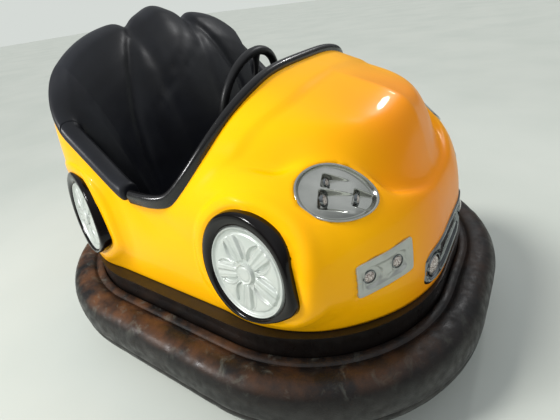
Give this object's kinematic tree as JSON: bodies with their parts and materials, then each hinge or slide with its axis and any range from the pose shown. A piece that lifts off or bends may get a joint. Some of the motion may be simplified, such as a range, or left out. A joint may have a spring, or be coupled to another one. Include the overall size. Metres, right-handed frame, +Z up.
{
  "type": "bumper car",
  "caption": "Fairground bumper car with a gelcoat shell, a rubber ring bumper, a lobed seat and a steered drive wheel.",
  "frame": {"origin": "centre of the rubber ring in plan, on the floor", "axes": "+X forward, +Y to the left, +Z up"},
  "size_m": [1.4, 1.15, 0.932],
  "materials": {
    "gelcoat": "glossy yellow-orange gelcoat",
    "bumper_rubber": "dusty black rubber",
    "black_steel": "worn black paint",
    "vinyl": "soft black upholstery",
    "edge_rubber": "black rubber edging",
    "black_plastic": "black moulded plastic",
    "bare_steel": "turned steel",
    "motor_grey": "grey enamel",
    "battery_case": "moulded case",
    "wheel_rubber": "solid rubber",
    "hub_metal": "cast",
    "gloss_black": "gloss black",
    "silver_paint": "pale silver paint",
    "lamp_silver": "satin silver",
    "chrome_strip": "bright",
    "red_lens": "clear red"
  },
  "bodies": {
    "chassis": {"floor_plate": "black_steel", "ring_band": "black_steel", "rubber_ring": "bumper_rubber", "body_shell": "gelcoat", "cockpit_liner": "black_plastic", "seat_base": "black_plastic", "seat_cushion": "vinyl", "seat_back": "vinyl", "side_pad_left": "vinyl", "side_pad_right": "vinyl", "cockpit_trim": "edge_rubber", "battery": "battery_case", "steering_gantry": "black_steel", "steering_box": "motor_grey", "column_tube": "black_steel", "accelerator_pedal": "black_steel", "swivel_race": "bare_steel", "rear_bracket_left": "black_steel", "rear_bracket_right": "black_steel", "headlamp_left": "lamp_silver", "headlamp_right": "lamp_silver", "fog_lamp_left": "lamp_silver", "fog_lamp_right": "lamp_silver", "front_strip": "chrome_strip", "tail_lamp_left": "red_lens", "tail_lamp_right": "red_lens", "mock_tyre_front_left": "gloss_black", "mock_rim_front_left": "silver_paint", "mock_tyre_front_right": "gloss_black", "mock_rim_front_right": "silver_paint", "mock_tyre_rear_left": "gloss_black", "mock_rim_rear_left": "silver_paint", "mock_tyre_rear_right": "gloss_black", "mock_rim_rear_right": "silver_paint"},
    "steering": {"steering_shaft": "bare_steel", "steering_wheel": "black_plastic"},
    "drive_unit": {"drive_yoke": "motor_grey", "drive_motor": "motor_grey", "drive_spindle": "bare_steel"},
    "drive_wheel": {"drive_tyre": "wheel_rubber", "drive_hub": "hub_metal"},
    "rear_left_wheel": {"rear_tyre_left": "wheel_rubber", "rear_hub_left": "hub_metal"},
    "rear_right_wheel": {"rear_tyre_right": "wheel_rubber", "rear_hub_right": "hub_metal"}
  },
  "joints": [
    {"name": "drive_swivel", "type": "hinge", "parent": "chassis", "child": "drive_unit", "pos_m": [0.33, 0, 0.1], "axis": [0, 0, 1], "continuous": true},
    {"name": "steering_turn", "type": "hinge", "parent": "chassis", "child": "steering", "pos_m": [0.002, 0, 0.673], "axis": [-0.9511, 0, 0.309], "continuous": true},
    {"name": "drive_wheel_spin", "type": "hinge", "parent": "drive_unit", "child": "drive_wheel", "pos_m": [0.33, 0, 0.1], "axis": [0, 1, 0], "continuous": true},
    {"name": "rear_left_spin", "type": "hinge", "parent": "chassis", "child": "rear_left_wheel", "pos_m": [-0.4, 0.27, 0.075], "axis": [0, 1, 0], "continuous": true},
    {"name": "rear_right_spin", "type": "hinge", "parent": "chassis", "child": "rear_right_wheel", "pos_m": [-0.4, -0.27, 0.075], "axis": [0, 1, 0], "continuous": true}
  ],
  "couplings": [
    {"joint": "steering_turn", "follows": "drive_swivel", "ratio": 1}
  ]
}
